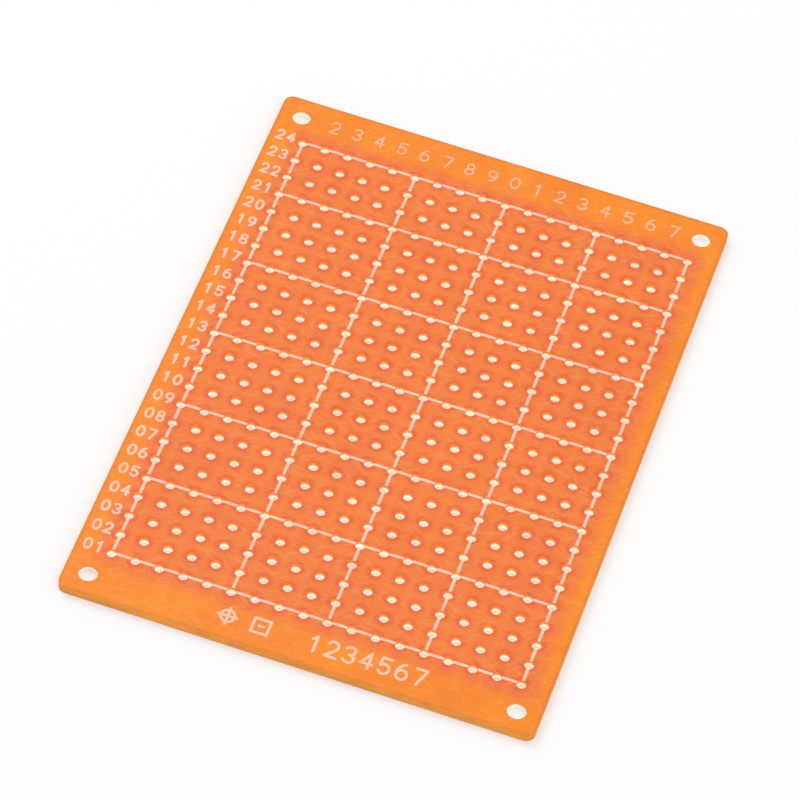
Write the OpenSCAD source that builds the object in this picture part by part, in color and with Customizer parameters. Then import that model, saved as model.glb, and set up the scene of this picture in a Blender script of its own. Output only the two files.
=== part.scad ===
// Prototype board, also called perforated board: a sheet of paper phenolic drilled
// right through on a square grid. Each lead hole has an etched copper pad round it
// on the underside. The upper side carries printed index lines that box the holes
// into small fields. Four larger holes in the corners take screws or stand-offs.
//
// Lengths are in millimetres. The board lies flat on its pads: X runs along the
// short side, Y along the long side, +Z is up, towards the printed side. The origin
// is the middle of the outline at the height of the surface that the pads rest on.
// Columns are counted along +X, rows from the far edge (+Y) towards the near one.

/* [Lead holes] */
// Distance from one lead hole to the next, a tenth of an inch
pitch = 2.54; // [2:0.02:4]
// Number of holes along the short side
columns = 18; // [5:1:30]
// Number of holes along the long side
rows = 24; // [5:1:40]
// Diameter of a lead hole
lead_hole_d = 1; // [0.7:0.05:1.3]

/* [Sheet] */
// Thickness of the bare sheet
sheet_t = 1; // [0.8:0.1:2.4]
// From the left edge to the first column of holes
margin_left = 3.81; // [3:0.01:8]
// From the last column of holes to the right edge
margin_right = 3.01; // [3:0.01:8]
// From the far edge to the first row of holes
margin_far = 5.93; // [5.3:0.01:12]
// From the last row of holes to the near edge
margin_near = 5.65; // [5.3:0.01:12]
// Radius of the outline at its four corners
corner_r = 1; // [0.3:0.1:2]

/* [Mounting holes] */
// Diameter of a mounting hole
mount_hole_d = 2; // [1.6:0.1:2.4]
// From each edge to the middle of a mounting hole
mount_inset = 2.5; // [2:0.1:2.8]

/* [Copper] */
// Outer diameter of a pad
pad_d = 1.9; // [1.5:0.05:1.95]
// Thickness of the copper foil
foil_t = 0.035; // [0.018:0.001:0.105]

/* [Print] */
// Width of a printed line
line_w = 0.32; // [0.2:0.02:0.4]
// Thickness of the ink
ink_t = 0.02; // [0.01:0.005:0.05]
// Number of hole spacings between two printed lines
field_step = 4; // [3:1:6]
// Fewest hole spacings that the first field may have
field_min = 3; // [2:1:4]
// How far the print came out off the holes, along X
print_off_x = 0.04; // [-0.16:0.02:0.16]
// How far the print came out off the holes, along Y
print_off_y = 0.08; // [-0.16:0.02:0.16]

/* [Hidden] */
$fn = 64;

// Outline, from the grid of holes and the margins round it
board_w = margin_left + (columns - 1) * pitch + margin_right;
board_l = margin_near + (rows - 1) * pitch + margin_far;

// The layers, from the resting plane up: copper, sheet, ink
sheet_z = foil_t;
ink_z = sheet_z + sheet_t;

// Where a column and a row of holes lie
function column_x(c) = -board_w / 2 + margin_left + (c - 1) * pitch;
function row_y(r) = board_l / 2 - margin_far - (r - 1) * pitch;

// The columns or rows with a printed line, of n: the first, then every
// field_step-th counted back from the last
function lined(n) = concat([1], [for (i = [n:-field_step:1 + field_min]) i]);

lined_columns = lined(columns);
lined_rows = lined(rows);

// A rectangle with round corners, about the origin
module round_rectangle(w, l, r) {
    square([w - 2 * r, l], center = true);
    square([w, l - 2 * r], center = true);
    for (x = [-1, 1], y = [-1, 1])
        translate([x * (w / 2 - r), y * (l / 2 - r)])
            circle(r = r);
}

// Children at the middle of each lead hole of the columns cs and rows rs
module at_holes(cs, rs) {
    for (c = cs, r = rs)
        translate([column_x(c), row_y(r)])
            children();
}

// Children at the middle of each mounting hole
module at_mounts() {
    for (x = [-1, 1], y = [-1, 1])
        translate([x * (board_w / 2 - mount_inset), y * (board_l / 2 - mount_inset)])
            children();
}

// The bare sheet, drilled for the leads and for the mounting screws
module laminate() {
    color([0.96, 0.54, 0.24])
        translate([0, 0, sheet_z])
            linear_extrude(sheet_t)
                difference() {
                    round_rectangle(board_w, board_l, corner_r);
                    at_holes([1:columns], [1:rows])
                        circle(d = lead_hole_d);
                    at_mounts()
                        circle(d = mount_hole_d);
                }
}

// One column of pads, each a ring of foil round its lead hole
module pads_column(c) {
    color([0.87, 0.56, 0.43])
        linear_extrude(foil_t)
            at_holes([c], [1:rows])
                difference() {
                    circle(d = pad_d);
                    circle(d = lead_hole_d);
                }
}

// A printed bar along X or Y that runs from the first hole to the last
module column_line(c) {
    y0 = row_y(rows) - line_w / 2;
    y1 = row_y(1) + line_w / 2;
    translate([column_x(c) - line_w / 2, y0])
        square([line_w, y1 - y0]);
}

module row_line(r) {
    x0 = column_x(1) - line_w / 2;
    x1 = column_x(columns) + line_w / 2;
    translate([x0, row_y(r) - line_w / 2])
        square([x1 - x0, line_w]);
}

// The index lines. The print lies a little off the holes, which are drilled
// through it, so each line is a row of short bars that end at the holes.
module printed_grid() {
    color([0.97, 0.88, 0.8])
        translate([0, 0, ink_z])
            linear_extrude(ink_t)
                difference() {
                    translate([print_off_x, print_off_y])
                        union() {
                            for (c = lined_columns) column_line(c);
                            for (r = lined_rows) row_line(r);
                        }
                    at_holes(lined_columns, [1:rows])
                        circle(d = lead_hole_d);
                    at_holes([1:columns], lined_rows)
                        circle(d = lead_hole_d);
                }
}

laminate();
printed_grid();
for (c = [1:columns])
    pads_column(c);
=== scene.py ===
"""Prototype board: looks of the sheet, the copper pads and the print.

The sheet, the pads and the printed lines are the frame's own solids and only
get their finishes here. The numbers along two edges and the marks in the near
margin are thin strokes of ink, laid on the sheet.
"""

import bpy
import numpy as np
from mathutils import Matrix, Vector


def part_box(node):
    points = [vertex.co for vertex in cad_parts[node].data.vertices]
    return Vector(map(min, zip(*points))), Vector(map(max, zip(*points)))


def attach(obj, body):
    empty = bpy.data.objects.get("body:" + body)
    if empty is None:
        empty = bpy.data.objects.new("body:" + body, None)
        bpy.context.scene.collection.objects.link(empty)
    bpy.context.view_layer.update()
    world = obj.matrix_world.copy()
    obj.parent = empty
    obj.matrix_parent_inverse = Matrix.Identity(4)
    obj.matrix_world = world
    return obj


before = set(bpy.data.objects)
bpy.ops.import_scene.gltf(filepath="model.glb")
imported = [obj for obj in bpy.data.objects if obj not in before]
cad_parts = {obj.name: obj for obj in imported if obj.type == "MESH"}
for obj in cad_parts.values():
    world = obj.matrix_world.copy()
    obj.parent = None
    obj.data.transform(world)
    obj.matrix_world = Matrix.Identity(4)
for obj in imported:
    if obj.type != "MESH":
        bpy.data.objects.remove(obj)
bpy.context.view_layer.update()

MM = 0.001

# ---------------------------------------------------------------- measures
# Read off the frame, in metres
PAD_NODES = sorted(
    (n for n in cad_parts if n.startswith("pads_column_")),
    key=lambda n: int(n.rsplit("_", 1)[1]),
)
SHEET_LOW, SHEET_HIGH = (np.array(c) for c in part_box("laminate"))
GRID_LOW, GRID_HIGH = (np.array(c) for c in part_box("printed_grid"))
FIRST_LOW, FIRST_HIGH = (np.array(c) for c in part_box(PAD_NODES[0]))
LAST_LOW, LAST_HIGH = (np.array(c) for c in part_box(PAD_NODES[-1]))

COLUMNS = len(PAD_NODES)
PAD_R = (FIRST_HIGH[0] - FIRST_LOW[0]) / 2
FIRST_X = (FIRST_LOW[0] + FIRST_HIGH[0]) / 2
LAST_X = (LAST_LOW[0] + LAST_HIGH[0]) / 2
PITCH = (LAST_X - FIRST_X) / (COLUMNS - 1)
FAR_Y = FIRST_HIGH[1] - PAD_R
NEAR_Y = FIRST_LOW[1] + PAD_R
ROWS = round((FAR_Y - NEAR_Y) / PITCH) + 1

# Known sizes of the holes and the print
LEAD_R = 0.5 * MM
MOUNT_R = 1.0 * MM
MOUNT_INSET = 2.5 * MM
LINE_W = 0.32 * MM

# How far the print came out off the holes
PRINT_X = GRID_LOW[0] + LINE_W / 2 - FIRST_X
PRINT_Y = GRID_HIGH[1] - LINE_W / 2 - FAR_Y


def column_x(column):
    """Column's place along X: the first column, then one pitch each."""
    return FIRST_X + (column - 1) * PITCH


def row_y(row):
    """Row's place along Y: the far row, then one pitch nearer each."""
    return FAR_Y - (row - 1) * PITCH


# ---------------------------------------------------------------- colours
def srgb(red, green, blue):
    """An 8-bit display colour as the linear colour that renders as it."""
    c = np.array([red, green, blue]) / 255
    low, high = c / 12.92, ((c + 0.055) / 1.055) ** 2.4
    return (*np.where(c <= 0.04045, low, high).tolist(), 1.0)


MARGIN_ORANGE = srgb(250, 137, 24)
FIELD_ORANGE = srgb(243, 122, 52)
COPPER_GLOW = srgb(237, 103, 46)
FIBRE_ORANGE = srgb(252, 176, 104)
UNDERSIDE_ORANGE = srgb(250, 169, 108)
EDGE_ORANGE = srgb(249, 158, 72)
# Painted light: pale cream on the lower walls of the holes, as if lit from below
HOLE_PAINTED_LIT_CREAM = srgb(252, 245, 223)
# Painted glow on all cut walls, in place of light coming through the sheet
EDGE_PAINTED_GLOW = srgb(84, 60, 24)
# Painted glow on the lower walls of the holes, in place of light from below
HOLE_PAINTED_GLOW = srgb(134, 142, 141)
INK_WHITE = srgb(252, 206, 180)
COPPER_PINK = srgb(231, 157, 131)
COPPER_BROWN = srgb(208, 122, 98)


# ---------------------------------------------------------------- node helpers
class Graph:
    """Short calls that add nodes to one shader tree and link them."""

    def __init__(self, tree):
        self.tree = tree

    def node(self, kind, **settings):
        n = self.tree.nodes.new(kind)
        for name, value in settings.items():
            setattr(n, name, value)
        return n

    def feed(self, socket, value):
        """Link an output to a socket, or set a plain value on it."""
        if isinstance(value, bpy.types.NodeSocket):
            self.tree.links.new(value, socket)
        elif value is not None:
            socket.default_value = value

    def math(self, operation, a, b=None, clamp=False):
        n = self.node("ShaderNodeMath", operation=operation, use_clamp=clamp)
        self.feed(n.inputs[0], a)
        self.feed(n.inputs[1], b)
        return n.outputs[0]

    def vector(self, operation, a, b=None):
        n = self.node("ShaderNodeVectorMath", operation=operation)
        self.feed(n.inputs[0], a)
        self.feed(n.inputs[1], b)
        return n.outputs["Value"] if operation == "LENGTH" else n.outputs["Vector"]

    def split(self, vector):
        n = self.node("ShaderNodeSeparateXYZ")
        self.feed(n.inputs[0], vector)
        return n.outputs

    def join(self, x, y, z=0.0):
        n = self.node("ShaderNodeCombineXYZ")
        for socket, value in zip(n.inputs, (x, y, z)):
            self.feed(socket, value)
        return n.outputs[0]

    def ramp(self, value, low, high, start=0.0, stop=1.0):
        """Start below low, stop above high, smooth between."""
        n = self.node("ShaderNodeMapRange", interpolation_type="SMOOTHSTEP")
        for socket, v in zip(n.inputs, (value, low, high, start, stop)):
            self.feed(socket, v)
        return n.outputs[0]

    def blend(self, factor, a, b):
        """Colour a where factor is 0, colour b where it is 1."""
        n = self.node("ShaderNodeMix", data_type="RGBA")
        self.feed(n.inputs["Factor"], factor)
        self.feed(n.inputs[6], a)
        self.feed(n.inputs[7], b)
        return n.outputs[2]

    def scaled(self, vector, factor):
        """A vector or a colour times one number."""
        n = self.node("ShaderNodeVectorMath", operation="SCALE")
        self.feed(n.inputs[0], vector)
        self.feed(n.inputs["Scale"], factor)
        return n.outputs[0]

    def varied(self, value, share):
        """A value about 0.5 on average made a factor about 1 on average."""
        swing = self.math("MULTIPLY", self.math("SUBTRACT", value, 0.5), share)
        return self.math("ADD", swing, 1.0)

    def noise(self, vector, scale, detail=3.0, roughness=0.5):
        n = self.node("ShaderNodeTexNoise")
        self.feed(n.inputs["Vector"], vector)
        self.feed(n.inputs["Scale"], scale)
        self.feed(n.inputs["Detail"], detail)
        self.feed(n.inputs["Roughness"], roughness)
        return n.outputs["Fac"]

    def group(self, group, **inputs):
        n = self.node("ShaderNodeGroup", node_tree=group)
        for name, value in inputs.items():
            self.feed(n.inputs[name.replace("_", " ")], value)
        return n.outputs


def new_group(name, inputs, outputs):
    """A shader node group with float inputs {name: default} and outputs."""
    tree = bpy.data.node_groups.new(name, "ShaderNodeTree")
    for label, value in inputs.items():
        s = tree.interface.new_socket(label, in_out="INPUT", socket_type="NodeSocketFloat")
        s.default_value = value
    for label in outputs:
        tree.interface.new_socket(label, in_out="OUTPUT", socket_type="NodeSocketFloat")
    g = Graph(tree)
    source = g.node("NodeGroupInput")
    sink = g.node("NodeGroupOutput")
    return tree, g, source.outputs, sink.inputs


def new_material(name):
    material = bpy.data.materials.new(name)
    material.use_nodes = True
    g = Graph(material.node_tree)
    shader = material.node_tree.nodes["Principled BSDF"]
    place = g.node("ShaderNodeTexCoord")
    return material, g, shader.inputs, place


def add_bump(g, inputs, height, distance):
    bump = g.node("ShaderNodeBump")
    bump.inputs["Distance"].default_value = distance
    bump.inputs["Strength"].default_value = 1.0
    g.feed(bump.inputs["Height"], height)
    g.feed(inputs["Normal"], bump.outputs[0])


# ---------------------------------------------------------------- groups
def make_hole_distance():
    """Distance from a point to the middle of the nearest lead hole.

    The point is moved so that a hole lies at every whole number of pitches;
    what is left after rounding is the way to the nearest hole. Outside the
    field of holes the distance runs on to the outermost hole.
    """
    tree, g, _, sink = new_group("hole_distance", {}, ["Distance", "Mount Distance"])
    x, y, _ = g.split(g.node("ShaderNodeTexCoord").outputs["Object"])

    def to_nearest(value, first, count):
        steps = g.math("DIVIDE", g.math("SUBTRACT", value, first), PITCH)
        whole = g.math("ROUND", steps)
        inside = g.math("MINIMUM", g.math("MAXIMUM", whole, 0.0), count - 1.0)
        return g.math("MULTIPLY", g.math("SUBTRACT", steps, inside), PITCH)

    across = g.join(to_nearest(x, FIRST_X, COLUMNS), to_nearest(y, NEAR_Y, ROWS))
    g.feed(sink["Distance"], g.vector("LENGTH", across))

    mount_x, mount_y = SHEET_HIGH[0] - MOUNT_INSET, SHEET_HIGH[1] - MOUNT_INSET
    corner = g.join(
        g.math("SUBTRACT", g.math("ABSOLUTE", x), mount_x),
        g.math("SUBTRACT", g.math("ABSOLUTE", y), mount_y),
    )
    g.feed(sink["Mount Distance"], g.vector("LENGTH", corner))
    return tree


def make_mottle():
    """Cloudy patches and fine grain, each about 0.5 on average."""
    tree, g, source, sink = new_group(
        "mottle", {"Patch Scale": 160.0, "Grain Scale": 2600.0}, ["Patches", "Grain"]
    )
    at = g.node("ShaderNodeTexCoord").outputs["Object"]
    g.feed(sink["Patches"], g.noise(at, source["Patch Scale"], 4.0, 0.6))
    g.feed(sink["Grain"], g.noise(at, source["Grain Scale"], 3.0, 0.7))
    return tree


FIBRE_SLOPES = (0.45, -0.6)
FIBRE_LENGTH = 9.0  # times the width
FIBRE_SWAY = 2.4 * MM
SWAY_SCALE = 260.0
LAYER_SCALE = 500.0


def make_paper():
    """Paper bonded with resin: fibres along the faces, layers on the cuts.

    The fibres are noise drawn out along two crossing directions, which bend a
    little from place to place. The layers are noise pressed flat along Z.
    """
    tree, g, source, sink = new_group(
        "paper", {"Fibre Width": 0.00012, "Layer Height": 0.00016}, ["Fibres", "Layers"]
    )
    at = g.node("ShaderNodeTexCoord").outputs["Object"]
    x, y, z = g.split(at)
    bend = g.math("SUBTRACT", g.noise(at, SWAY_SCALE, 1.0), 0.5)
    sway = g.math("MULTIPLY", bend, FIBRE_SWAY)

    def drawn_out(slope, shift):
        across = g.math("ADD", g.math("ADD", y, g.math("MULTIPLY", x, slope)), sway)
        along = g.math("SUBTRACT", x, g.math("MULTIPLY", y, slope))
        fine = g.math("DIVIDE", across, source["Fibre Width"])
        length = g.math("MULTIPLY", source["Fibre Width"], FIBRE_LENGTH)
        long = g.math("DIVIDE", along, length)
        return g.noise(g.join(long, fine, shift), 0.5, 1.0)

    first, second = FIBRE_SLOPES
    g.feed(sink["Fibres"], g.math("MAXIMUM", drawn_out(first, 3.0), drawn_out(second, 11.0)))

    level = g.math("DIVIDE", z, source["Layer Height"])
    wave_x, wave_y, _ = g.split(g.scaled(at, LAYER_SCALE))
    g.feed(sink["Layers"], g.noise(g.join(wave_x, wave_y, level), 1.0, 2.0))
    return tree


HOLE_DISTANCE = make_hole_distance()
MOTTLE = make_mottle()
PAPER = make_paper()


# ---------------------------------------------------------------- materials
# Distances from the middle of a lead hole between which one look turns into
# another: margin into field of pads, and bare sheet into pad shining through
FIELD_AT = (0.95 * PITCH, 0.5 * PITCH)
PAD_AT = (PAD_R + 0.2 * MM, PAD_R - 0.25 * MM)
# Distances from the middle of a hole at which a wall counts as the hole's own
LEAD_WALL_AT = (LEAD_R + 0.12 * MM, LEAD_R + 0.04 * MM)
MOUNT_WALL_AT = (MOUNT_R + 0.2 * MM, MOUNT_R + 0.05 * MM)
# Depth under the upper side at which painted light from below (paler cream and a painted
# glow) takes over in a hole
PAINTED_LIGHT_DEPTH = (0.26 * MM, 0.52 * MM)

RIM_WIDTH, RIM_SHADE = 0.45 * MM, 0.16
PAD_RIM = 0.16 * MM
CLOUD_SHADE, CLOUD_SHADE_RED, GRAIN_SHADE, LAYER_SHADE = 0.5, 0.16, 0.24, 0.9
FIBRE_AT, FIBRE_SHOW = (0.56, 0.72), 0.22
WALL_ROUGHER = 0.3
SHEET_RELIEF, FINE_RELIEF = 0.006 * MM, 0.004 * MM


def printed_side(g, near, x, y):
    """Colour of the upper side: margin, field, pads, and a darker band along the outline."""
    colour = g.blend(g.ramp(near["Distance"], *FIELD_AT), MARGIN_ORANGE, FIELD_ORANGE)
    colour = g.blend(g.ramp(near["Distance"], *PAD_AT), colour, COPPER_GLOW)
    from_x = g.math("SUBTRACT", SHEET_HIGH[0], g.math("ABSOLUTE", x))
    from_y = g.math("SUBTRACT", SHEET_HIGH[1], g.math("ABSOLUTE", y))
    rim = g.ramp(g.math("MINIMUM", from_x, from_y), RIM_WIDTH, 0.0)
    return g.scaled(colour, g.math("SUBTRACT", 1.0, g.math("MULTIPLY", rim, RIM_SHADE)))


def painted_lit_hole_wall(g, near, height, is_wall):
    """1 on the lower part of the walls of the holes, where light from below is painted on."""
    in_lead = g.ramp(near["Distance"], *LEAD_WALL_AT)
    in_mount = g.ramp(near["Mount Distance"], *MOUNT_WALL_AT)
    in_hole = g.math("MULTIPLY", g.math("MAXIMUM", in_lead, in_mount), is_wall)
    depth = g.math("SUBTRACT", SHEET_HIGH[2], height)
    return g.math("MULTIPLY", in_hole, g.ramp(depth, *PAINTED_LIGHT_DEPTH))


def make_laminate():
    """Paper phenolic: translucent orange, with the pads showing through.

    The upper side has the printed side's colours and the underside is paler.
    The cut walls show the layers and have a painted glow, stronger and over a paler cream low
    in the holes, in place of light from the table coming through.
    """
    material, g, shader, place = new_material("laminate_phenolic")
    near = g.group(HOLE_DISTANCE)
    mottle = g.group(MOTTLE, Patch_Scale=230.0)
    paper = g.group(PAPER)
    x, y, height = g.split(place.outputs["Object"])
    up = g.split(place.outputs["Normal"])[2]
    faces_down = g.ramp(up, -0.3, -0.7)
    is_wall = g.ramp(g.math("ABSOLUTE", up), 0.7, 0.4)
    in_hole = painted_lit_hole_wall(g, near, height, is_wall)

    colour = g.blend(faces_down, printed_side(g, near, x, y), UNDERSIDE_ORANGE)
    colour = g.blend(is_wall, colour, EDGE_ORANGE)
    # Painted light: the lower walls of the holes turn pale cream, as if lit from below
    colour = g.blend(in_hole, colour, HOLE_PAINTED_LIT_CREAM)

    # Cloudy resin, paler fibres on the faces, and layers on the cut walls
    cloudy = g.varied(mottle["Patches"], CLOUD_SHADE)
    slightly = g.varied(mottle["Patches"], CLOUD_SHADE_RED)
    colour = g.scaled(colour, g.varied(mottle["Grain"], GRAIN_SHADE))
    colour = g.vector("MULTIPLY", colour, g.join(slightly, cloudy, cloudy))
    fibre = g.ramp(paper["Fibres"], *FIBRE_AT)
    fibre = g.math("MULTIPLY", fibre, g.math("SUBTRACT", 1.0, is_wall))
    colour = g.blend(g.math("MULTIPLY", fibre, FIBRE_SHOW), colour, FIBRE_ORANGE)
    layered = g.varied(paper["Layers"], g.math("MULTIPLY", is_wall, LAYER_SHADE))
    g.feed(shader["Base Color"], g.scaled(colour, layered))

    # Painted glow: a little on all cut walls, more low in the holes, in place of light from
    # below
    light = g.blend(is_wall, srgb(0, 0, 0), EDGE_PAINTED_GLOW)
    g.feed(shader["Emission Color"], g.blend(in_hole, light, HOLE_PAINTED_GLOW))
    shader["Emission Strength"].default_value = 1.0

    rough = g.ramp(mottle["Patches"], 0.3, 0.7, 0.36, 0.46)
    rough = g.math("ADD", rough, g.math("MULTIPLY", is_wall, WALL_ROUGHER))
    g.feed(shader["Roughness"], rough)
    shader["Specular IOR Level"].default_value = 0.3
    relief = g.math("ADD", g.math("MULTIPLY", paper["Fibres"], 0.5), mottle["Grain"])
    steps = g.math("MULTIPLY", g.math("MULTIPLY", paper["Layers"], is_wall), 4.0)
    add_bump(g, shader, g.math("ADD", relief, steps), SHEET_RELIEF)
    return material


def make_ink(name, cover):
    """Printed ink: off-white, with pores that let the orange through.

    cover is how much of the sheet the ink hides where it lies thickest.
    """
    material, g, shader, _ = new_material(name)
    near = g.group(HOLE_DISTANCE)
    mottle = g.group(MOTTLE, Patch_Scale=420.0, Grain_Scale=5200.0)
    pores = g.ramp(mottle["Grain"], 0.32, 0.5, 0.55, 1.0)
    body = g.ramp(mottle["Patches"], 0.3, 0.62, 0.82, 1.0)
    thick = g.math("MULTIPLY", g.math("MULTIPLY", pores, body), cover)
    under = g.blend(g.ramp(near["Distance"], *FIELD_AT), MARGIN_ORANGE, FIELD_ORANGE)
    g.feed(shader["Base Color"], g.blend(thick, under, INK_WHITE))
    g.feed(shader["Roughness"], g.ramp(mottle["Grain"], 0.3, 0.7, 0.5, 0.62))
    add_bump(g, shader, mottle["Grain"], FINE_RELIEF)
    return material


def make_copper():
    """Etched foil under clear flux: pink, browner in patches and at the rim."""
    material, g, shader, _ = new_material("copper_foil")
    near = g.group(HOLE_DISTANCE)
    mottle = g.group(MOTTLE, Patch_Scale=300.0, Grain_Scale=4200.0)
    rim = g.ramp(near["Distance"], PAD_R - PAD_RIM, PAD_R)
    stain = g.ramp(mottle["Patches"], 0.42, 0.72, 0.0, 0.6)
    dark = g.math("MAXIMUM", g.math("MULTIPLY", rim, 0.7), stain)
    g.feed(shader["Base Color"], g.blend(dark, COPPER_PINK, COPPER_BROWN))
    g.feed(shader["Roughness"], g.ramp(mottle["Grain"], 0.3, 0.7, 0.34, 0.5))
    shader["Metallic"].default_value = 0.6
    shader["Coat Weight"].default_value = 0.3
    shader["Coat Roughness"].default_value = 0.15
    add_bump(g, shader, mottle["Grain"], FINE_RELIEF)
    return material


def dress(node, material):
    """Give a frame node its material in place of the plain one."""
    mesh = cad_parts[node].data
    mesh.materials.clear()
    mesh.materials.append(material)


LAMINATE = make_laminate()
LINE_INK = make_ink("ink_lines", 1.0)
NUMBER_INK = make_ink("ink_numbers", 1.0)
FAINT_INK = make_ink("ink_faint", 0.65)
COPPER = make_copper()

dress("laminate", LAMINATE)
dress("printed_grid", LINE_INK)
for pad_node in PAD_NODES:
    dress(pad_node, COPPER)


# ---------------------------------------------------------------- ink strokes
STROKE_STEP_DOWN = 0.0004 * MM  # each stroke lies this much under the one before
ARC_POINTS = 9
RING_POINTS = 16
END_POINTS = 4
END_TIP = 0.25  # radians: how near the tip of its half circle an end starts


def arc(cx, cy, rx, ry, start, stop, points=ARC_POINTS):
    """Points on an ellipse from one angle to another, in degrees."""
    a = np.radians(np.linspace(start, stop, points))
    return np.stack([cx + rx * np.cos(a), cy + ry * np.sin(a)], axis=1)


def line(*points):
    return np.array(points, dtype=float)


def ring(cx, cy, rx, ry):
    """A closed ellipse: its last point is left off, as it meets the first."""
    return arc(cx, cy, rx, ry, 0, 360, RING_POINTS + 1)[:-1]


def digit(value):
    """Strokes of a plain numeral in a box one wide and one high about 0.

    Each stroke is its points and whether it closes on itself.
    """
    six = [
        (ring(0, -0.2, 0.48, 0.3), True),
        (arc(0.35, -0.15, 0.83, 0.65, 180, 104), False),
    ]
    shapes = {
        0: [(ring(0, 0, 0.5, 0.5), True)],
        1: [
            (line((-0.28, 0.28), (0.06, 0.5)), False),
            (line((0.06, 0.5), (0.06, -0.5)), False),
        ],
        2: [
            (arc(0, 0.2, 0.46, 0.3, 165, -38), False),
            (line((0.36, 0.015), (-0.48, -0.5)), False),
            (line((-0.48, -0.5), (0.48, -0.5)), False),
        ],
        3: [
            (arc(-0.03, 0.25, 0.43, 0.25, 155, -90), False),
            (arc(-0.03, -0.25, 0.48, 0.25, 90, -155), False),
        ],
        4: [
            (line((0.22, 0.5), (-0.5, -0.2)), False),
            (line((-0.5, -0.2), (0.5, -0.2)), False),
            (line((0.22, 0.5), (0.22, -0.5)), False),
        ],
        5: [
            (line((0.42, 0.5), (-0.36, 0.5)), False),
            (line((-0.36, 0.5), (-0.42, 0.04)), False),
            (arc(-0.02, -0.18, 0.49, 0.32, 138, -150), False),
        ],
        6: six,
        7: [
            (line((-0.48, 0.5), (0.48, 0.5)), False),
            (line((0.48, 0.5), (-0.12, -0.5)), False),
        ],
        8: [(ring(0, 0.26, 0.4, 0.24), True), (ring(0, -0.24, 0.48, 0.26), True)],
        9: [(-points, closed) for points, closed in six],
    }
    return shapes[value]


def crosshair():
    """A ring with a cross through it, as boards carry for lining up."""
    return [
        (ring(0, 0, 0.36, 0.36), True),
        (line((-0.5, 0), (0.5, 0)), False),
        (line((0, -0.5), (0, 0.5)), False),
    ]


def boxed_bar():
    """A square with a short bar in its middle."""
    corners = [(-0.42, -0.42), (0.42, -0.42), (0.42, 0.42), (-0.42, 0.42)]
    sides = [(line(a, b), False) for a, b in zip(corners, corners[1:] + corners[:1])]
    return sides + [(line((-0.12, 0), (0.12, 0)), False)]


def ribbon(points, closed, width, low, high):
    """A flat bar of ink carried along a path.

    The path's points get a left and a right edge half a width away, square to
    the path. An open path ends in a half circle: past each end the half width
    follows the circle's formula, width / 2 times the sine of an angle, at the
    cosine of that angle beyond the end. Each station holds four corners, left
    and right at the top, then right and left at the bottom.
    """
    if closed:
        along = np.roll(points, -1, axis=0) - np.roll(points, 1, axis=0)
        centres, half = points, np.full(len(points), width / 2)
    else:
        along = np.gradient(points, axis=0)
        angle = np.linspace(END_TIP, np.pi / 2, END_POINTS, endpoint=False)
        first = along[0] / np.linalg.norm(along[0])
        last = along[-1] / np.linalg.norm(along[-1])
        reach = (width / 2 * np.cos(angle))[:, None]
        tips = points[0] - reach * first, (points[-1] + reach * last)[::-1]
        centres = np.concatenate([tips[0], points, tips[1]])
        end_half = width / 2 * np.sin(angle)
        half = np.concatenate([end_half, np.full(len(points), width / 2), end_half[::-1]])
        along = np.concatenate([0 * tips[0] + first, along, 0 * tips[1] + last])
    along = along / np.linalg.norm(along, axis=1, keepdims=True)
    aside = np.stack([-along[:, 1], along[:, 0]], axis=1) * half[:, None]
    left, right = centres + aside, centres - aside
    count = len(centres)
    corners = np.empty((count, 4, 3))
    corners[:, 0, :2], corners[:, 1, :2] = left, right
    corners[:, 2, :2], corners[:, 3, :2] = right, left
    corners[:, :2, 2], corners[:, 2:, 2] = high, low

    station = np.arange(count if closed else count - 1)[:, None]
    following = (station + 1) % count
    side = np.arange(4)[None, :]
    next_side = (side + 1) % 4
    here, ahead = station * 4, following * 4
    walls = np.stack([here + side, here + next_side, ahead + next_side, ahead + side], axis=2)
    walls = walls.reshape(-1, 4)
    if closed:
        return corners.reshape(-1, 3), walls
    end = (count - 1) * 4
    caps = np.array([[0, 3, 2, 1], [end, end + 1, end + 2, end + 3]])
    return corners.reshape(-1, 3), np.concatenate([walls, caps])


def print_piece(name, signs, width, material):
    """One mesh of all the strokes of signs: (strokes, x, y, wide, high)."""
    vertices, faces, used, depth = [], [], 0, 0
    for strokes, x, y, wide, high in signs:
        for order, (points, closed) in enumerate(strokes):
            placed = points * (wide - width, high - width) + (x, y)
            top = GRID_HIGH[2] - order * STROKE_STEP_DOWN
            v, f = ribbon(placed, closed, width, SHEET_HIGH[2], top)
            vertices.append(v)
            faces.append(f + used)
            used += len(v)
    mesh = bpy.data.meshes.new(name)
    mesh.from_pydata(np.concatenate(vertices).tolist(), [], np.concatenate(faces).tolist())
    mesh.materials.append(material)
    piece = bpy.data.objects.new(name, mesh)
    bpy.context.scene.collection.objects.link(piece)
    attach(piece, "root")
    return piece


# ---------------------------------------------------------------- numbers
ROW_NUMBER_X = SHEET_LOW[0] + 1.8 * MM
ROW_NUMBER_RISE = 0.22 * MM
ROW_DIGIT_GAP = 1.22 * MM
ROW_DIGIT_W, ROW_DIGIT_H = 1.0 * MM, 1.5 * MM
ROW_STROKE = 0.28 * MM

COLUMN_DIGIT_Y = SHEET_HIGH[1] - 2.6 * MM
COLUMN_DIGIT_W, COLUMN_DIGIT_H = 1.15 * MM, 1.7 * MM
COLUMN_STROKE = 0.22 * MM

STRIP_Y = SHEET_LOW[1] + 2.7 * MM
STRIP_X = 6.85 * MM
STRIP_COUNT = 7
STRIP_STEP = 1.83 * MM
STRIP_DIGIT_W, STRIP_DIGIT_H = 1.45 * MM, 2.2 * MM
STRIP_STROKE = 0.3 * MM
MARK_SIZE = 2.3 * MM
MARK_XS = (-7.8 * MM, -4.3 * MM)


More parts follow.
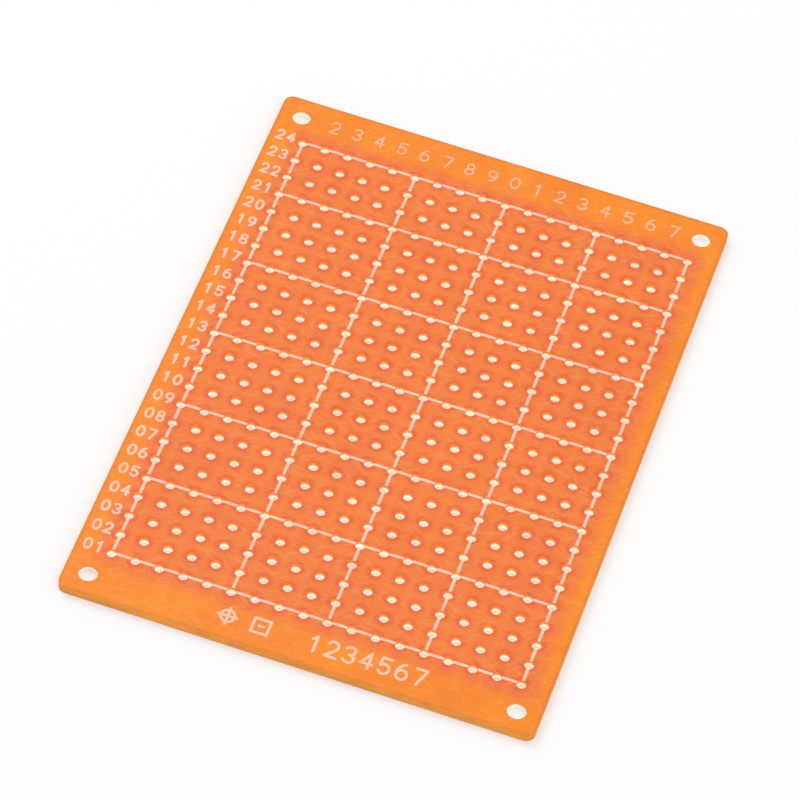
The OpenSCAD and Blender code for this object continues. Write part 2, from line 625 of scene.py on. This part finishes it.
def row_number_signs():
    """Two plain digits beside each row, counted up from the near row."""
    for row in range(1, ROWS + 1):
        number = ROWS + 1 - row
        y = row_y(row) + PRINT_Y + ROW_NUMBER_RISE
        for place, value in enumerate((number // 10, number % 10)):
            x = ROW_NUMBER_X + (place - 0.5) * ROW_DIGIT_GAP
            yield digit(value), x, y, ROW_DIGIT_W, ROW_DIGIT_H


def column_number_signs():
    """One plain digit over each column but the outer two, under the screws."""
    for column in range(2, COLUMNS):
        x = column_x(column) + PRINT_X
        yield digit(column % 10), x, COLUMN_DIGIT_Y, COLUMN_DIGIT_W, COLUMN_DIGIT_H


def strip_signs():
    """Plain digits counting up in the near margin."""
    for place in range(STRIP_COUNT):
        x = STRIP_X + (place - (STRIP_COUNT - 1) / 2) * STRIP_STEP
        yield digit(place + 1), x, STRIP_Y, STRIP_DIGIT_W, STRIP_DIGIT_H


def mark_signs():
    """Two plain marks in the near margin."""
    for strokes, x in zip((crosshair(), boxed_bar()), MARK_XS):
        yield strokes, x, STRIP_Y, MARK_SIZE, MARK_SIZE


print_piece("row_numbers", row_number_signs(), ROW_STROKE, NUMBER_INK)
print_piece("column_numbers", column_number_signs(), COLUMN_STROKE, FAINT_INK)
print_piece("strip_numbers", strip_signs(), STRIP_STROKE, LINE_INK)
print_piece("strip_marks", mark_signs(), STRIP_STROKE, LINE_INK)


# ---------------------------------------------------------------- stage
FLOOR_SIZE = 3.0
FLOOR_DROP = 0.02 * MM
FLOOR_GREY = 0.6
WORLD_STRENGTH = 0.66
KEY_PLACE, KEY_POWER = (-0.45, 0.35, 0.75), 2.95
FILL_PLACE, FILL_POWER = (0.6, -0.35, 0.6), 1.25
LAMP_SIZE = 0.6


def seen_ray(g):
    """1 for a ray from the eye, a mirror or clear glass, 0 for one that lights."""
    rays = g.node("ShaderNodeLightPath").outputs
    seen = g.math("MAXIMUM", rays["Is Camera Ray"], rays["Is Glossy Ray"])
    return g.math("MAXIMUM", seen, rays["Is Transmission Ray"])


def make_floor():
    """A white sweep: part lit, part shining for the eye, so shadows stay."""
    half = FLOOR_SIZE / 2
    mesh = bpy.data.meshes.new("floor")
    corners = [(-half, -half), (half, -half), (half, half), (-half, half)]
    mesh.from_pydata([(x, y, -FLOOR_DROP) for x, y in corners], [], [(0, 1, 2, 3)])
    floor = bpy.data.objects.new("floor", mesh)
    bpy.context.scene.collection.objects.link(floor)

    material, g, shader, _ = new_material("floor_white")
    shader["Base Color"].default_value = (FLOOR_GREY, FLOOR_GREY, FLOOR_GREY, 1)
    shader["Roughness"].default_value = 1.0
    shader["Specular IOR Level"].default_value = 0.0
    seen = seen_ray(g)
    shader["Emission Color"].default_value = (1, 1, 1, 1)
    g.feed(shader["Emission Strength"], g.math("MULTIPLY", seen, 1 - FLOOR_GREY))
    mesh.materials.append(material)


def make_world():
    """Even white light from all round, plain white where it is seen."""
    world = bpy.data.worlds.new("studio")
    world.use_nodes = True
    g = Graph(world.node_tree)
    background = world.node_tree.nodes["Background"]
    background.inputs["Color"].default_value = (1, 1, 1, 1)
    seen = seen_ray(g)
    g.feed(background.inputs["Strength"], g.ramp(seen, 0.0, 1.0, WORLD_STRENGTH, 1.0))
    bpy.context.scene.world = world


def make_lamp(name, place, power):
    """A square soft box that faces the board."""
    data = bpy.data.lights.new(name, "AREA")
    data.size = LAMP_SIZE
    data.energy = power
    lamp = bpy.data.objects.new(name, data)
    lamp.location = place
    lamp.rotation_euler = (-Vector(place)).to_track_quat("-Z", "Y").to_euler()
    bpy.context.scene.collection.objects.link(lamp)


make_floor()
make_world()
make_lamp("key_box", KEY_PLACE, KEY_POWER)
make_lamp("fill_box", FILL_PLACE, FILL_POWER)


# ---------------------------------------------------------------- camera
# Where the photograph was taken from, seen from the middle of the board, and
# the turn about the line of sight that sets the board's slant in the picture
CAMERA_PLACE = Vector((68.9, -312.1, 407.1)) * MM
CAMERA_AIM = Vector((-0.6, 0.5, 0.3)) * MM
CAMERA_ROLL = 7.5
CAMERA_LENS = 226.0


def make_camera():
    """A camera that looks along forward, with its sides turned by the roll."""
    forward = (CAMERA_AIM - CAMERA_PLACE).normalized()
    level = forward.cross(Vector((0, 0, 1))).normalized()
    upright = level.cross(forward)
    turn = np.radians(CAMERA_ROLL)
    right = level * np.cos(turn) + upright * np.sin(turn)
    up = upright * np.cos(turn) - level * np.sin(turn)
    data = bpy.data.cameras.new("camera")
    data.sensor_width = 36.0
    data.lens = CAMERA_LENS
    camera = bpy.data.objects.new("camera", data)
    axes = Matrix((right, up, -forward)).transposed().to_4x4()
    camera.matrix_world = Matrix.Translation(CAMERA_PLACE) @ axes
    bpy.context.scene.collection.objects.link(camera)
    bpy.context.scene.camera = camera


make_camera()
bpy.context.scene.view_settings.view_transform = "Standard"
